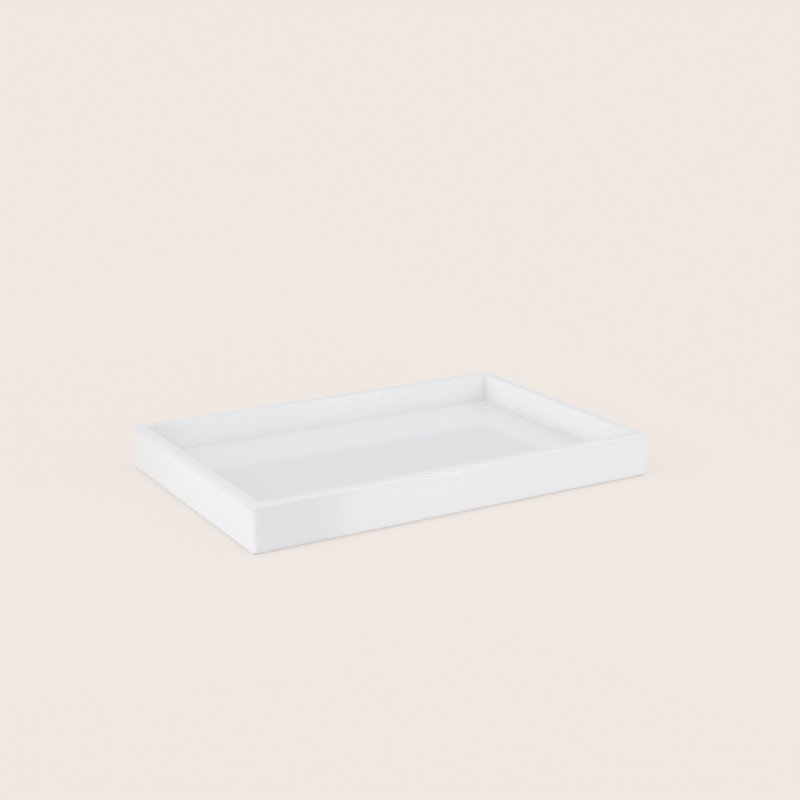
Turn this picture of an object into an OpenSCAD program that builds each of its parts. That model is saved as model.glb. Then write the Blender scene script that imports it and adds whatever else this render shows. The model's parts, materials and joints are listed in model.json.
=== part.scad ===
// Shallow rectangular tray of white gloss-lacquered boards, in millimetres.
// X runs along the length, Y from front to back, and +Z is up. The origin is on the
// surface that the tray stands on, under the middle of the floor.

/* [Tray] */
// Overall length, left to right
tray_length = 300; // [200:1:480]
// Overall depth, front to back
tray_depth = 200; // [140:1:360]
// Overall height, from the surface that it stands on to the rim
tray_height = 30; // [25:0.5:60]

/* [Walls] */
// Thickness of the wall boards
wall_t = 9; // [8:0.5:14]
// Radius of the outside corners, seen from above
corner_r = 3.5; // [2.8:0.1:5]
// Radius of the rounded outer edge along the rim
rim_r = 2.6; // [0.5:0.1:3.2]
// Radius of the softened inner edge along the rim
rim_inner_r = 0.7; // [0.3:0.1:2]
// Radius of the softened edges round the foot of the walls
foot_r = 0.8; // [0.3:0.1:1]

/* [Floor board] */
// Height of the floor above the underside of the walls
floor_rise = 8.5; // [7:0.5:12]
// Thickness of the floor board
floor_t = 5; // [4:0.5:6]
// Thickness of the tongue that is left round the floor board
tongue_t = 3; // [2:0.5:3.5]
// Reach of the tongue into the walls
tongue_reach = 4; // [2:0.5:5]
// Room left in the groove beyond the tongue
groove_room = 0.4; // [0.2:0.1:0.8]

/* [Corner splines] */
// Thickness of each spline
spline_t = 2; // [1:0.1:2.5]
// Width of each spline, across its mitre
spline_w = 6; // [4:0.5:6.5]
// Board left between the groove and the foot of each spline
spline_foot = 2; // [1:0.5:4]
// Board left between the top of each spline and the rim
spline_cover = 4.5; // [3:0.5:7]

/* [Pads] */
// Diameter of each pad
pad_d = 7; // [5:0.5:7.5]
// Height of each pad, which lifts the walls off the surface
pad_h = 1; // [0.8:0.1:3]
// Radius round the lower edge of each pad
pad_edge_r = 0.4; // [0.1:0.1:0.6]

/* [Fit] */
// Glue line left round each tongue and spline
glue_line = 0.1; // [0.05:0.05:0.2]

/* [Hidden] */
$fn = 96;

// Clear space between the walls
inner_length = tray_length - 2 * wall_t;
inner_depth = tray_depth - 2 * wall_t;

// Heights above the surface that the tray stands on
wall_foot = pad_h;
wall_height = tray_height - wall_foot;
floor_top = wall_foot + floor_rise;
floor_foot = floor_top - floor_t;
groove_foot = floor_foot - glue_line;
groove_height = tongue_t + 2 * glue_line;
spline_base = groove_foot + groove_height + spline_foot;
spline_height = tray_height - spline_cover - spline_base;

// The splines and the pads sit in the middle of the walls, across the mitres
corner_x = (tray_length - wall_t) / 2;
corner_y = (tray_depth - wall_t) / 2;

lacquer_white = [0.93, 0.93, 0.94];
spline_beech = [0.82, 0.68, 0.48];
pad_white = [0.88, 0.88, 0.87];

// What a radius takes off a square corner at the origin. in_x and in_y, each 1 or -1,
// say on which side of the corner the material lies.
module edge_cut(r, in_x, in_y) {
    difference() {
        square(2 * r, center = true);
        translate([in_x * r, in_y * r])
            circle(r);
    }
}

// Plan of a wall whose outer face looks towards -Y, mitred at both ends, with half of
// each rounded corner. run is the tray's outer size along that wall, and off is how far
// the outer face lies from the tray's middle.
module wall_plan(run, off) {
    intersection() {
        union() {
            translate([-run / 2, corner_r - off])
                square([run, wall_t]);
            translate([corner_r - run / 2, -off])
                square([run - 2 * corner_r, wall_t]);
            for (side = [-1, 1])
                translate([side * (run / 2 - corner_r), corner_r - off])
                    circle(corner_r);
        }
        polygon([
            [-run / 2, -off],
            [run / 2, -off],
            [run / 2 - wall_t, wall_t - off],
            [wall_t - run / 2, wall_t - off]
        ]);
    }
}

// Rounds an edge of length that runs in X through y and z
module straight_cut(r, length, y, z, in_y, in_z) {
    translate([-length / 2, y, z])
        rotate([90, 0, 90])
            linear_extrude(length)
                edge_cut(r, in_y, in_z);
}

// Rounds the same edge on round both outside corners, at the height z
module corner_cuts(r, run, off, z, in_z) {
    for (side = [-1, 1])
        translate([side * (run / 2 - corner_r), corner_r - off, z])
            rotate(side < 0 ? 180 : 270)
                rotate_extrude(angle = 90)
                    translate([corner_r, 0])
                        edge_cut(r, -1, in_z);
}

// The edges of the wall at one height: the inner one, the outer one and its corners
module level_cuts(inner_r, outer_r, run, off, z, in_z) {
    straight_cut(inner_r, run, wall_t - off, z, -1, in_z);
    straight_cut(outer_r, run - 2 * corner_r, -off, z, 1, in_z);
    corner_cuts(outer_r, run, off, z, in_z);
}

// Room for the tongue of the floor board, cut into all four walls
module floor_groove() {
    reach = tongue_reach + groove_room;
    translate([-inner_length / 2 - reach, -inner_depth / 2 - reach, groove_foot])
        cube([inner_length + 2 * reach, inner_depth + 2 * reach, groove_height]);
}

// End view of a spline: a strip that stands on the origin, as round at both ends as the
// cutter that makes its slot
module spline_section(thickness, height) {
    radius = thickness / 2;
    translate([-radius, radius])
        square([thickness, height - thickness]);
    for (end = [radius, height - radius])
        translate([0, end])
            circle(radius);
}

// A spline in its place across the mitre of one corner, grown by gap on all sides
module spline_blank(side_x, side_y, gap) {
    translate([side_x * corner_x, side_y * corner_y, spline_base - gap])
        rotate(45 * side_x * side_y)
            translate([0, spline_w / 2 + gap, 0])
                rotate([90, 0, 0])
                    linear_extrude(spline_w + 2 * gap)
                        spline_section(spline_t + 2 * gap, spline_height + 2 * gap);
}

module spline_slots() {
    for (side_x = [-1, 1], side_y = [-1, 1])
        spline_blank(side_x, side_y, glue_line);
}

// One wall, turned to its side of the tray, with its groove and its half of the slots
module wall(run, off, turn) {
    color(lacquer_white)
        difference() {
            rotate(turn)
                difference() {
                    translate([0, 0, wall_foot])
                        linear_extrude(wall_height)
                            wall_plan(run, off);
                    level_cuts(rim_inner_r, rim_r, run, off, tray_height, -1);
                    level_cuts(foot_r, foot_r, run, off, wall_foot, 1);
                }
            floor_groove();
            spline_slots();
        }
}

module front_wall() {
    wall(tray_length, tray_depth / 2, 0);
}

module back_wall() {
    wall(tray_length, tray_depth / 2, 180);
}

module left_wall() {
    wall(tray_depth, tray_length / 2, 270);
}

module right_wall() {
    wall(tray_depth, tray_length / 2, 90);
}

// The floor fills the space between the walls, and its tongue sits in their groove
module floor_board() {
    color(lacquer_white) {
        translate([-inner_length / 2, -inner_depth / 2, floor_foot])
            cube([inner_length, inner_depth, floor_t]);
        translate([-inner_length / 2 - tongue_reach, -inner_depth / 2 - tongue_reach, floor_foot])
            cube([inner_length + 2 * tongue_reach, inner_depth + 2 * tongue_reach, tongue_t]);
    }
}

module corner_spline(side_x, side_y) {
    color(spline_beech)
        spline_blank(side_x, side_y, 0);
}

// A soft disc stuck under a corner, with its lower edge rounded
module corner_pad(side_x, side_y) {
    color(pad_white)
        translate([side_x * corner_x, side_y * corner_y, 0])
            rotate_extrude()
                difference() {
                    square([pad_d / 2, pad_h]);
                    translate([pad_d / 2, 0])
                        edge_cut(pad_edge_r, -1, 1);
                }
}

floor_board();
front_wall();
back_wall();
left_wall();
right_wall();
corner_spline(-1, -1);  // spline_front_left
corner_spline(1, -1);  // spline_front_right
corner_spline(-1, 1);  // spline_back_left
corner_spline(1, 1);  // spline_back_right
corner_pad(-1, -1);  // pad_front_left
corner_pad(1, -1);  // pad_front_right
corner_pad(-1, 1);  // pad_back_left
corner_pad(1, 1);  // pad_back_right
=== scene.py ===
import json
import math

import bmesh
import bpy
from mathutils import Matrix, Vector
from mathutils.bvhtree import BVHTree


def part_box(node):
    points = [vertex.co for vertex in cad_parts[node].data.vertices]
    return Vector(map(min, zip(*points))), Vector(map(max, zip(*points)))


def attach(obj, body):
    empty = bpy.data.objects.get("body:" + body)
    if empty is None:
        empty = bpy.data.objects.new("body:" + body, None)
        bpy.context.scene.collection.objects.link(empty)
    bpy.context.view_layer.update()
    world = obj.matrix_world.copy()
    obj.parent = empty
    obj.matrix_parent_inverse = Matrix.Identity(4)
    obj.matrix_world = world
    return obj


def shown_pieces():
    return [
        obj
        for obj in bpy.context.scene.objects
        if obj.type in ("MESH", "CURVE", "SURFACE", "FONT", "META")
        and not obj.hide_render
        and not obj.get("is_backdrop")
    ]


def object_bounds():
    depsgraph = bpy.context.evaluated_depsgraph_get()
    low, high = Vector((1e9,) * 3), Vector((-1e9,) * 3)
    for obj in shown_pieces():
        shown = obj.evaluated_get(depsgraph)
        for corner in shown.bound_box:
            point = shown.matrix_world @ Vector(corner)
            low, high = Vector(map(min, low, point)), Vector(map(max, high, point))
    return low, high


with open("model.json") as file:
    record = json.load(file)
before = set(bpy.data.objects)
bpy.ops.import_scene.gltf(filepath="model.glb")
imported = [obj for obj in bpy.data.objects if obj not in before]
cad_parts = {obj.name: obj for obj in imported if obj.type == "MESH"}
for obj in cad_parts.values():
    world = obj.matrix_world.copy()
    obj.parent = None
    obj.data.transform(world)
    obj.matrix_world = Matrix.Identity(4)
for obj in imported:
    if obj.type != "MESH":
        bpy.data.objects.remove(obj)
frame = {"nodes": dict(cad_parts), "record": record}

# The CAD box, before anything is added
CAD_LOW, CAD_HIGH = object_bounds()

# ---------------------------------------------------------------------------------------
# Image points, in the photograph's frame of 800 x 800 pixels. These are the only pixel
# coordinates here. A point without an x or a y is an edge of the whole object.
# ---------------------------------------------------------------------------------------
IMAGE_W, IMAGE_H = 800, 800
LONG_SIDE = max(IMAGE_W, IMAGE_H)
POINTS = {
    "object_left": (132.5, None),
    "object_right": (647.7, None),
    "object_top": (None, 372.5),
    "object_bottom": (None, 553.5),
    "rim_front_left": (254.0, 507.0),
    "rim_front_right": (646.0, 433.5),
    "rim_back_left": (134.0, 426.0),
    "rim_back_right": (487.0, 372.5),
    "foot_front_left": (254.0, 553.0),
    "foot_front_right": (646.0, 473.0),
    "foot_back_left": (134.5, 464.0),
    "floor_back_right": (482.8, 401.7),
}

# ---------------------------------------------------------------------------------------
# Camera: solved from corners and edges of the photograph, the points above among them.
# It looks along a line through the origin, moved aside and up by what the photograph's
# framing needs, so it needs no shift.
# ---------------------------------------------------------------------------------------
CAMERA_AZIMUTH = -30.49
CAMERA_ELEVATION = 15.57
CAMERA_DISTANCE = 1.0360
CAMERA_ASIDE = 0.00842
CAMERA_ABOVE = 0.04925
LENS = 66.73
SENSOR_WIDTH = 36.0
CLIP_NEAR = 0.05
CLIP_FAR = 200.0


def make_camera():
    azimuth, elevation = math.radians(CAMERA_AZIMUTH), math.radians(CAMERA_ELEVATION)
    back = Vector((
        math.sin(azimuth) * math.cos(elevation),
        -math.cos(azimuth) * math.cos(elevation),
        math.sin(elevation),
    ))
    right = Vector((math.cos(azimuth), math.sin(azimuth), 0.0))
    up = back.cross(right)
    data = bpy.data.cameras.new("camera")
    data.lens = LENS
    data.sensor_width = SENSOR_WIDTH
    data.sensor_fit = "AUTO"
    data.clip_start = CLIP_NEAR
    data.clip_end = CLIP_FAR
    data.dof.use_dof = False
    camera = bpy.data.objects.new("camera", data)
    place = back * CAMERA_DISTANCE + right * CAMERA_ASIDE + up * CAMERA_ABOVE
    axes = Matrix((right, up, back)).transposed().to_4x4()
    camera.matrix_world = Matrix.Translation(place) @ axes
    bpy.context.scene.collection.objects.link(camera)
    bpy.context.scene.camera = camera
    bpy.context.view_layer.update()
    return camera


CAMERA = make_camera()


def image_ray(x, y):
    """Where the camera's ray through an image point starts, and its direction."""
    data = CAMERA.data
    local = Vector((
        x - IMAGE_W / 2 + data.shift_x * LONG_SIDE,
        IMAGE_H / 2 - y + data.shift_y * LONG_SIDE,
        -LONG_SIDE * data.lens / data.sensor_width,
    ))
    return CAMERA.matrix_world.translation, (CAMERA.matrix_world.to_3x3() @ local).normalized()


def image_point(place):
    """Where a place in the scene shows in the image, in pixels."""
    data = CAMERA.data
    local = CAMERA.matrix_world.inverted() @ Vector(place)
    scale = LONG_SIDE * data.lens / data.sensor_width / -local.z
    return (
        IMAGE_W / 2 + local.x * scale - data.shift_x * LONG_SIDE,
        IMAGE_H / 2 - local.y * scale + data.shift_y * LONG_SIDE,
    )


def carriers_tree(objects):
    """One BVHTree of finished, placed objects, with its vertices."""
    depsgraph = bpy.context.evaluated_depsgraph_get()
    vertices, faces = [], []
    for obj in objects:
        shape = obj.evaluated_get(depsgraph)
        mesh = shape.to_mesh()
        first = len(vertices)
        vertices += [obj.matrix_world @ v.co for v in mesh.vertices]
        faces += [[first + i for i in face.vertices] for face in mesh.polygons]
        shape.to_mesh_clear()
    return BVHTree.FromPolygons(vertices, faces), vertices


# The place nearest to a ray is looked for at least this far in front of the camera
IN_FRONT = 1e-3


def place_at(point, carriers):
    """Where an image point lies on the carriers: the ray's hit, or the place nearest to it."""
    start, direction = image_ray(*point)
    tree, vertices = carriers_tree(carriers)
    hit = tree.ray_cast(start, direction)[0]
    if hit is None:
        along = max(IN_FRONT, min((v - start).dot(direction) for v in vertices))
        hit = tree.find_nearest(start + direction * along)[0]
    return hit


# ---------------------------------------------------------------------------------------
# Materials. The CAD nodes share one origin, so object coordinates run on across joints.
# ---------------------------------------------------------------------------------------
class Graph:
    """A node tree with short ways to add and link its nodes."""

    def __init__(self, tree):
        self.tree = tree
        tree.nodes.clear()

    def add(self, kind, inputs=None, **settings):
        node = self.tree.nodes.new(kind)
        for name, value in settings.items():
            setattr(node, name, value)
        for name, value in (inputs or {}).items():
            self.put(node.inputs[name], value)
        return node

    def put(self, socket, value):
        if isinstance(value, bpy.types.NodeSocket):
            self.tree.links.new(value, socket)
        else:
            socket.default_value = value

    def math(self, operation, a, b=0.0, clamp=False):
        return self.add(
            "ShaderNodeMath", {0: a, 1: b}, operation=operation, use_clamp=clamp
        ).outputs[0]

    def vector(self, operation, a, b):
        return self.add("ShaderNodeVectorMath", {0: a, 1: b}, operation=operation)

    def scaled(self, vector, amount):
        return self.add(
            "ShaderNodeVectorMath", {0: vector, "Scale": amount}, operation="SCALE"
        ).outputs[0]

    def span(self, value, low, high, to_low=0.0, to_high=1.0, smooth=False):
        """value from low..high to to_low..to_high, clamped."""
        return self.add(
            "ShaderNodeMapRange",
            {"Value": value, "From Min": low, "From Max": high,
             "To Min": to_low, "To Max": to_high},
            interpolation_type="SMOOTHSTEP" if smooth else "LINEAR",
        ).outputs[0]

    def mix(self, factor, a, b):
        node = self.add("ShaderNodeMix", {"Factor": factor}, data_type="RGBA")
        self.put(node.inputs[6], a)
        self.put(node.inputs[7], b)
        return node.outputs[2]

    def noise(self, vector, scale, detail=2.0, roughness=0.5):
        return self.add(
            "ShaderNodeTexNoise",
            {"Vector": vector, "Scale": scale, "Detail": detail, "Roughness": roughness},
        ).outputs[0]

    def stretched(self, vector, scale, turn=(0.0, 0.0, 0.0)):
        return self.add(
            "ShaderNodeMapping", {"Vector": vector, "Scale": scale, "Rotation": turn}
        ).outputs[0]

    def bump(self, height, distance, strength=1.0, normal=None):
        inputs = {"Height": height, "Distance": distance, "Strength": strength}
        if normal is not None:
            inputs["Normal"] = normal
        return self.add("ShaderNodeBump", inputs).outputs[0]


def new_material(name):
    material = bpy.data.materials.new(name)
    material.use_nodes = True
    graph = Graph(material.node_tree)
    return material, graph


def principled(graph, inputs):
    shader = graph.add("ShaderNodeBsdfPrincipled", inputs)
    output = graph.add("ShaderNodeOutputMaterial")
    graph.put(output.inputs["Surface"], shader.outputs[0])


def rgba(red, green, blue):
    return (red, green, blue, 1.0)


def shaded(colour, *shares):
    """The colour times one share, or times a share for each channel."""
    if len(shares) == 1:
        shares *= 3
    return rgba(*(channel * share for channel, share in zip(colour, shares)))


# The mitres stand where |x| - |y| is this much
MITRE = CAD_HIGH.x - CAD_HIGH.y
# Half the width of a joint's hairline: where it is at its full, and where it ends
HAIRLINE = (0.00006, 0.00018)
# Painted shade and dulling by hands on the rim's rounded edges: how far below the rim that
# starts and is at its full
RIM_SHADE_AND_DULL_DEPTHS = (0.0035, 0.0025)
# Broken grey marks low down are at their full up to the first of these heights, and end at the
# second
LOW_MARK_HEIGHTS = (0.0014, 0.0032)
# Turn about Z and fineness of each set of hairline scratches
SCRATCHES = ((0.3, 1500.0), (1.25, 1150.0), (2.2, 1900.0))
LACQUER_IOR = 1.5


def lacquer(name, white, gloss, rubbed, mitred):
    """White high-gloss lacquer on board: white is its colour, gloss its roughness, and
    rubbed how much of it use has dulled and scratched. On mitred pieces the joint shows
    through the coat as a broken hairline."""
    material, g = new_material(name)
    coords = g.add("ShaderNodeTexCoord")
    place, facing = coords.outputs["Object"], coords.outputs["Normal"]
    across, along, height = g.add("ShaderNodeSeparateXYZ", {"Vector": place}).outputs
    upward = g.add("ShaderNodeSeparateXYZ", {"Vector": facing}).outputs[2]

    # What faces down got one thin, dry coat, and stays satin
    underside = g.math("LESS_THAN", upward, -0.5)
    # The rounded edges of the rim get painted shade that greys them, and are dulled by hands
    # to a higher roughness
    rim = g.span(height, *(CAD_HIGH.z - depth for depth in RIM_SHADE_AND_DULL_DEPTHS))
    rounded = g.math("MULTIPLY", upward, g.math("SUBTRACT", 1.0, upward))
    rounded = g.math("MULTIPLY", rim, g.span(rounded, 0.02, 0.2))

    # Broad, faint unevenness of the coat's colour, and patches where it was handled
    cloud = g.noise(place, scale=11.0, detail=3.0, roughness=0.55)
    handled = g.noise(place, scale=34.0, detail=4.0, roughness=0.6)
    handled = g.span(handled, 0.5, 0.72, smooth=True)
    darker = shaded(white, 0.985)
    warmer = shaded(white, 0.985, 0.97, 0.935)
    rim_edge_painted_shade = shaded(white, 0.915)
    colour = g.mix(g.span(cloud, 0.3, 0.7), rgba(*white), darker)
    colour = g.mix(g.math("MULTIPLY", underside, 0.7), colour, warmer)
    # Painted shade: the rim's rounded edges are greyed
    colour = g.mix(rounded, colour, rim_edge_painted_shade)

    # Broken grey marks low down, darker towards the bottom edge
    low_marks = g.stretched(place, (90.0, 90.0, 500.0))
    low_marks = g.noise(low_marks, scale=1.0, detail=4.0, roughness=0.6)
    low_down = g.span(height, *LOW_MARK_HEIGHTS, to_low=1.0, to_high=0.0)
    low_marks = g.math("MULTIPLY", g.span(low_marks, 0.5, 0.62), low_down)
    mark_grey = shaded(white, 0.87)
    colour = g.mix(g.math("MULTIPLY", low_marks, 0.4), colour, mark_grey)

    # The hairline of the mitre, shrunk into the coat here and there
    if mitred:
        offset = g.math("SUBTRACT", g.math("ABSOLUTE", across), g.math("ABSOLUTE", along))
        offset = g.math("ABSOLUTE", g.math("SUBTRACT", offset, MITRE))
        line = g.span(offset, *HAIRLINE, to_low=1.0, to_high=0.0, smooth=True)
        broken = g.span(g.noise(place, scale=210.0, detail=2.0), 0.42, 0.55)
        hairline = g.math("MULTIPLY", line, broken)
        colour = g.mix(g.math("MULTIPLY", hairline, 0.5), colour, mark_grey)

    # Hairline scratches: long thin streaks in three directions, where use has rubbed
    streaks = None
    for turn, fineness in SCRATCHES:
        lines = g.stretched(place, (fineness, 14.0, 14.0), (0.0, 0.0, turn))
        lines = g.noise(lines, scale=1.0, detail=1.0)
        lines = g.span(lines, 0.70, 0.76)
        streaks = lines if streaks is None else g.math("MAXIMUM", streaks, lines)
    streaks = g.math("MULTIPLY", streaks, g.math("MULTIPLY", handled, rubbed))

    # Dust that settled in the wet coat: rare, tiny, round nibs
    cells = g.add(
        "ShaderNodeTexVoronoi", {"Vector": place, "Scale": 62.0, "Randomness": 1.0}
    ).outputs["Distance"]
    nibs = g.span(cells, 0.012, 0.035, 1.0, 0.0, smooth=True)

    uneven = g.noise(place, scale=55.0, detail=3.0)
    rough = g.span(uneven, 0.3, 0.7, gloss * 0.8, gloss * 1.25)
    rough = g.math("ADD", rough, g.math("MULTIPLY", handled, rubbed * 0.05))
    rough = g.math("ADD", rough, g.math("MULTIPLY", rounded, 0.03))
    rough = g.math("ADD", rough, g.math("MULTIPLY", streaks, 0.10))
    rough = g.math("ADD", rough, g.math("MULTIPLY", underside, 0.34), clamp=True)

    # Orange peel, the long waves of the sanded board under it, nibs and scratches
    peel = g.bump(g.noise(place, scale=430.0, detail=2.0), distance=6e-6)
    waves = g.bump(g.noise(place, scale=26.0, detail=2.0), distance=9e-5, normal=peel)
    dust = g.bump(nibs, distance=1.2e-5, normal=waves)
    surface = g.bump(streaks, distance=6e-7, normal=dust)
    # Underneath, the grain of the board stands up through its one coat
    grain = g.stretched(place, (45.0, 1100.0, 1100.0))
    grain = g.noise(grain, scale=1.0, detail=3.0, roughness=0.6)
    grain = g.math("MULTIPLY", grain, underside)
    surface = g.bump(grain, distance=2e-5, normal=surface)
    if mitred:
        surface = g.bump(g.math("SUBTRACT", 1.0, hairline), distance=1.5e-5, normal=surface)
    principled(g, {
        "Base Color": colour, "Roughness": rough, "Normal": surface, "IOR": LACQUER_IOR,
    })
    return material


def beech(name):
    """Bare planed beech, with its grain along the key and short dark ray flecks."""
    material, g = new_material(name)
    place = g.add("ShaderNodeTexCoord").outputs["Object"]
    grain = g.stretched(place, (900.0, 900.0, 70.0))
    grain = g.noise(grain, scale=1.0, detail=5.0, roughness=0.6)
    flecks = g.stretched(place, (3200.0, 3200.0, 420.0))
    flecks = g.span(g.noise(flecks, scale=1.0, detail=2.0), 0.62, 0.7)
    colour = g.mix(g.span(grain, 0.3, 0.7), rgba(0.60, 0.40, 0.23), rgba(0.74, 0.54, 0.34))
    colour = g.mix(g.math("MULTIPLY", flecks, 0.6), colour, rgba(0.42, 0.25, 0.13))
    rough = g.span(grain, 0.3, 0.7, 0.62, 0.5)
    surface = g.bump(g.math("SUBTRACT", grain, flecks), distance=4e-5)
    principled(g, {"Base Color": colour, "Roughness": rough, "Normal": surface})
    return material


def rubber(name):
    """Matt white non-slip rubber with a fine stipple, greyer where it has stood."""
    material, g = new_material(name)
    coords = g.add("ShaderNodeTexCoord")
    place = coords.outputs["Object"]
    upward = g.add("ShaderNodeSeparateXYZ", {"Vector": coords.outputs["Normal"]}).outputs[2]
    stipple = g.add(
        "ShaderNodeTexVoronoi", {"Vector": place, "Scale": 2600.0}
    ).outputs["Distance"]
    dirt = g.noise(place, scale=700.0, detail=4.0, roughness=0.65)
    dirt = g.span(dirt, 0.4, 0.7, smooth=True)
    stood = g.math("MULTIPLY", dirt, g.span(upward, -0.6, -0.95))
    colour = g.mix(g.math("MULTIPLY", stood, 0.55), rgba(0.87, 0.87, 0.86),
                   rgba(0.42, 0.40, 0.37))
    rough = g.span(stipple, 0.0, 0.6, 0.85, 0.68)
    surface = g.bump(stipple, distance=3e-5, strength=0.8)
    principled(g, {"Base Color": colour, "Roughness": rough, "Normal": surface})
    return material


WALL_WHITE = (0.935, 0.935, 0.935)
# The floor board's white is darker and cooler than the walls': painted shade and painted cool
# reflection on the one lacquer
FLOOR_BOARD_SHADED_WHITE = (0.878, 0.893, 0.904)
FINISHES = {
    "wall_lacquer": lacquer(
        "wall_gloss_lacquer", WALL_WHITE, gloss=0.07, rubbed=0.35, mitred=True
    ),
    "floor_lacquer": lacquer(
        "floor_gloss_lacquer_painted_shade", FLOOR_BOARD_SHADED_WHITE, gloss=0.055, rubbed=1.0, mitred=False
    ),
    "spline_beech": beech("spline_planed_beech"),
    "pad_rubber": rubber("pad_stippled_rubber"),
}

# Where the coat of the walls ran on into the inner corners
FILLET_FINISH = lacquer(
    "fillet_gloss_lacquer", WALL_WHITE, gloss=0.06, rubbed=0.35, mitred=False
)

for part in frame["record"]["subparts"]:
    node = frame["nodes"][part["node"]]
    for slot in node.material_slots:
        slot.material = FINISHES[part["material_slot"]]

# ---------------------------------------------------------------------------------------
# Lacquer fillets: where the wet coat drew into the inner corners, between the floor and
# the walls and between the walls
# ---------------------------------------------------------------------------------------
FILLET_R = 0.0007
FILLET_STEPS = 8
# How far their backs are sunk into the boards
FILLET_SUNK = 0.00006
# The upright ones thin out to this, just under the inner rounding of the rim
FILLET_END_R = 0.0001
FILLET_TAPER = 0.0025
RIM_CLEAR = 0.0009
# Edges sharper than this many degrees stay sharp
SHARP_ANGLE = 40
WALL_NAMES = ("front_wall", "back_wall", "left_wall", "right_wall")
WALLS = [frame["nodes"][name] for name in WALL_NAMES]
FLOOR = frame["nodes"]["floor_board"]


def basin_size():
    """Half the length and depth of the space between the walls, and the floor's height.
    The image point of the floor's far corner says where to look: from halfway out to it,
    rays along X and Y meet the walls. The height is the top of the floor board's box."""
    corner = place_at(POINTS["floor_back_right"], [FLOOR, *WALLS])
    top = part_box("floor_board")[1].z
    tree, _ = carriers_tree(WALLS)
    # A quarter of the way up from the floor to the rim
    inside = Vector((corner.x / 2, corner.y / 2, top + (CAD_HIGH.z - top) / 4))
    half_length = tree.ray_cast(inside, Vector((1.0, 0.0, 0.0)))[0].x
    half_depth = tree.ray_cast(inside, Vector((0.0, 1.0, 0.0)))[0].y
    return half_length, half_depth, top


def fillet_section(radius):
    """Points (out of the first face, out of the second) round the section: the hollow
    curve first, and then the back, sunk into the corner."""
    turns = [math.pi / 2 * i / FILLET_STEPS for i in range(FILLET_STEPS + 1)]
    curve = [(radius * (1 - math.cos(t)), radius * (1 - math.sin(t))) for t in turns]
    return curve + [(radius, -FILLET_SUNK), (-FILLET_SUNK, -FILLET_SUNK),
                    (-FILLET_SUNK, radius)]


def mesh_object(name, rings, closed):
    """A tube through rings of points, closed on itself or with flat ends."""
    shape = bmesh.new()
    rows = [[shape.verts.new(point) for point in ring] for ring in rings]
    count = len(rows[0])
    pairs = list(zip(rows, rows[1:] + rows[:1])) if closed else list(zip(rows, rows[1:]))
    for first, second in pairs:
        for i in range(count):
            j = (i + 1) % count
            shape.faces.new((first[i], first[j], second[j], second[i]))
    if not closed:
        shape.faces.new(rows[0])
        shape.faces.new(list(reversed(rows[-1])))
    bmesh.ops.recalc_face_normals(shape, faces=shape.faces)
    mesh = bpy.data.meshes.new(name)
    shape.to_mesh(mesh)
    shape.free()
    for face in mesh.polygons:
        face.use_smooth = True
    mesh.set_sharp_from_angle(angle=math.radians(SHARP_ANGLE))
    obj = bpy.data.objects.new(name, mesh)
    bpy.context.scene.collection.objects.link(obj)
    return obj


def make_fillets():
    half_length, half_depth, floor_top = basin_size()
    corners = [(1, 1), (-1, 1), (-1, -1), (1, -1)]
    section = fillet_section(FILLET_R)
    foot = mesh_object("fillet_floor", [
        [(sx * (half_length - out), sy * (half_depth - out), floor_top + up)
         for out, up in section]
        for sx, sy in corners
    ], closed=True)
    made = [foot]
    top = CAD_HIGH.z - RIM_CLEAR
    # Height and radius of each row of points up an inner corner
    rows = (
        (floor_top - FILLET_SUNK, FILLET_R),
        (top - FILLET_TAPER, FILLET_R),
        (top, FILLET_END_R),
    )
    for sx, sy in corners:
        name = "fillet_%s_%s" % ("back" if sy > 0 else "front", "right" if sx > 0 else "left")
        made.append(mesh_object(name, [
            [(sx * (half_length - a), sy * (half_depth - b), z)
             for a, b in fillet_section(radius)]
            for z, radius in rows
        ], closed=False))
    for obj in made:
        obj.data.materials.append(FILLET_FINISH)
        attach(obj, "root")


make_fillets()

# ---------------------------------------------------------------------------------------
# Stage: a pale floor out to the horizon, and a plain pale studio round it
# ---------------------------------------------------------------------------------------
BACKGROUND = (0.871, 0.807, 0.761)
# The stage floor's colour in the light that it sends back to the object
STAGE_WHITE = (0.74, 0.74, 0.74)
FLOOR_HALF = 90.0
FLOOR_DROP = 0.00005
# The part of the stage floor's look that glows by itself. The rest is lit, for the shadow
GLOW = 0.7
# How brightly the open stage floor is lit, so that the lit part matches the background
OPEN_LIGHT = 0.91
# The studio's even light: cool at the sides and warmer overhead
SIDE_SKY = (0.53, 0.57, 0.65)
OVERHEAD_SKY = (0.56, 0.54, 0.46)
OVERHEAD_SHARPNESS = 2.0
# Broad soft lamps in that sky, all of one faintly warm colour
LAMP_COLOUR = (1.0, 0.98, 0.96)
SKY_LAMPS = (
    # towards, sharpness (higher is narrower), brightness
    ((-1.0, 0.0, 0.3), 2.0, 0.34),  # wide and low on the left
    ((-1.0, 0.0, 0.7), 6.0, 0.74),  # left
    ((0.2, -1.0, 0.7), 6.0, 0.54),  # front
    ((1.0, -0.2, 0.7), 6.0, 0.67),  # right
)
# Between these heights on the sky, as Z of a direction, the background's colour at the
# horizon gives way to the studio
HORIZON_BLEND = (0.02, 0.12)
# What the gloss shows of the studio above the horizon
MIRRORED = (0.585, 0.610, 0.680)


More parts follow.
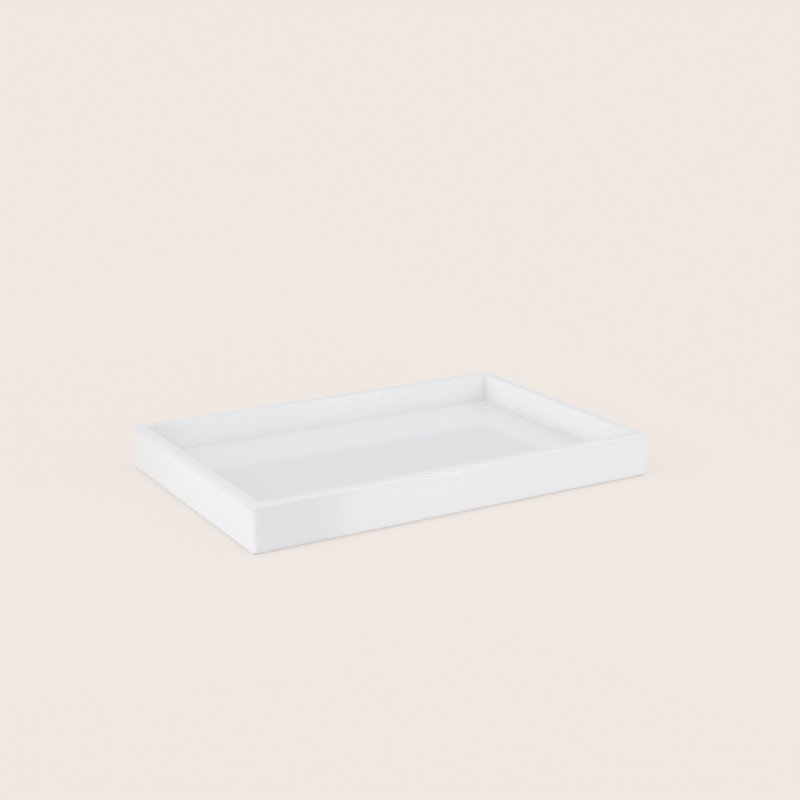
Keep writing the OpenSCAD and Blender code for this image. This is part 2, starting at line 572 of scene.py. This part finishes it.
def make_floor():
    """The stage floor. The camera and the gloss see the background's colour, part of it
    lit, so that the tray's shadow shows. All other light meets a plain pale grey."""
    mesh = bpy.data.meshes.new("stage_floor")
    edge = FLOOR_HALF
    mesh.from_pydata([(-edge, -edge, -FLOOR_DROP), (edge, -edge, -FLOOR_DROP),
                      (edge, edge, -FLOOR_DROP), (-edge, edge, -FLOOR_DROP)],
                     [], [(0, 1, 2, 3)])
    floor = bpy.data.objects.new("stage_floor", mesh)
    bpy.context.scene.collection.objects.link(floor)
    material, g = new_material("stage_pale")
    path = g.add("ShaderNodeLightPath")
    seen = g.math("MAXIMUM", path.outputs["Is Camera Ray"], path.outputs["Is Glossy Ray"])
    seen = g.math("MAXIMUM", seen, path.outputs["Is Transmission Ray"])
    lit = tuple(c / OPEN_LIGHT for c in BACKGROUND)
    glow = g.add("ShaderNodeEmission", {"Color": rgba(*BACKGROUND), "Strength": 1.0})
    paper = g.add("ShaderNodeBsdfDiffuse", {"Color": rgba(*lit)})
    plain = g.add("ShaderNodeBsdfDiffuse", {"Color": rgba(*STAGE_WHITE)})
    shown = g.add("ShaderNodeMixShader", {0: GLOW, 1: paper.outputs[0], 2: glow.outputs[0]})
    both = g.add("ShaderNodeMixShader", {0: seen, 1: plain.outputs[0], 2: shown.outputs[0]})
    output = g.add("ShaderNodeOutputMaterial")
    g.put(output.inputs["Surface"], both.outputs[0])
    mesh.materials.append(material)
    floor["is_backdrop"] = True


def make_world():
    """The studio as a sky: even light, with broad soft lamps in it. The camera sees the
    background's colour there instead, and gloss an even, cooler sky."""
    world = bpy.data.worlds.new("studio")
    world.use_nodes = True
    g = Graph(world.node_tree)
    direction = g.add("ShaderNodeTexCoord").outputs["Generated"]

    def lobe(towards, sharpness):
        """1 in one direction of the sky, falling smoothly to 0 at a right angle to it."""
        along = g.vector("DOT_PRODUCT", direction, Vector(towards).normalized())
        return g.math("POWER", g.math("MAXIMUM", along.outputs["Value"], 0.0), sharpness)

    overhead = lobe((0.0, 0.0, 1.0), OVERHEAD_SHARPNESS)
    total = g.mix(overhead, rgba(*SIDE_SKY), rgba(*OVERHEAD_SKY))
    for towards, sharpness, brightness in SKY_LAMPS:
        amount = g.math("MULTIPLY", lobe(towards, sharpness), brightness)
        total = g.vector("ADD", total, g.scaled(LAMP_COLOUR, amount)).outputs[0]
    path = g.add("ShaderNodeLightPath")
    mirrored = g.math(
        "MAXIMUM", path.outputs["Is Glossy Ray"], path.outputs["Is Transmission Ray"]
    )
    colour = g.mix(mirrored, total, rgba(*MIRRORED))
    height = g.add("ShaderNodeSeparateXYZ", {"Vector": direction}).outputs[2]
    colour = g.mix(g.span(height, *HORIZON_BLEND, smooth=True), rgba(*BACKGROUND), colour)
    colour = g.mix(path.outputs["Is Camera Ray"], colour, rgba(*BACKGROUND))
    background = g.add("ShaderNodeBackground", {"Color": colour, "Strength": 1.0})
    output = g.add("ShaderNodeOutputWorld")
    g.put(output.inputs["Surface"], background.outputs[0])
    bpy.context.scene.world = world


def softbox(name, place, aim, width, height, radiance):
    """A rectangular soft light of even brightness, whatever its size."""
    data = bpy.data.lights.new(name, "AREA")
    data.shape = "RECTANGLE"
    data.size = width
    data.size_y = height
    data.energy = radiance * math.pi * width * height
    return place_lamp(name, data, place, aim)


def place_lamp(name, data, place, aim):
    lamp = bpy.data.objects.new(name, data)
    towards = Vector(aim) - Vector(place)
    lamp.location = place
    lamp.rotation_mode = "QUATERNION"
    lamp.rotation_quaternion = towards.to_track_quat("-Z", "Y")
    bpy.context.scene.collection.objects.link(lamp)
    return lamp


def spotlight(name, place, aim, angle, blend, radius, power):
    """A round, soft-edged beam, angle degrees wide."""
    data = bpy.data.lights.new(name, "SPOT")
    data.energy = power
    data.spot_size = math.radians(angle)
    data.spot_blend = blend
    data.shadow_soft_size = radius
    return place_lamp(name, data, place, aim)


make_floor()
make_world()
# The left and front walls are lit a little more from their own sides
left_beam = spotlight(
    "left_beam", place=(-1.95, 0.02, 0.14), aim=(-0.15, -0.06, 0.015),
    angle=12.6, blend=1.0, radius=0.03, power=13.6,
)
front_beam = spotlight(
    "front_beam", place=(0.10, -1.20, 0.151), aim=(0.09, -0.1, 0.02),
    angle=20.3, blend=0.3, radius=0.01, power=3.9,
)
for beam in (left_beam, front_beam):
    beam.visible_glossy = False
# Only its reflection is wanted, along the middle of the front rim
rim_strip = softbox(
    "rim_strip", place=(0.915, -1.60, 0.31), aim=(0.0, -0.1, 0.03),
    width=0.20, height=0.42, radiance=5.0,
)
rim_strip.visible_diffuse = False

scene = bpy.context.scene
scene.view_settings.view_transform = "Standard"


# ---------------------------------------------------------------------------------------
# The finished vertices that the camera sees, and the basin's size, found once more
# ---------------------------------------------------------------------------------------
# A ray to a vertex stops this far short of it, so that it doesn't meet its own faces
SHORT_OF_VERTEX = 2e-5


def shown_vertices():
    """The finished vertices that the camera sees, as (place, image x, image y)."""
    tree, vertices = carriers_tree(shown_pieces())
    eye = CAMERA.matrix_world.translation
    shown = []
    for vertex in vertices:
        away = vertex - eye
        hit = tree.ray_cast(eye, away.normalized(), away.length - SHORT_OF_VERTEX)[0]
        if hit is None:
            shown.append((vertex, *image_point(vertex)))
    return shown


def write_points():
    shown = shown_vertices()
    half_length, half_depth, floor_top = basin_size()


write_points()
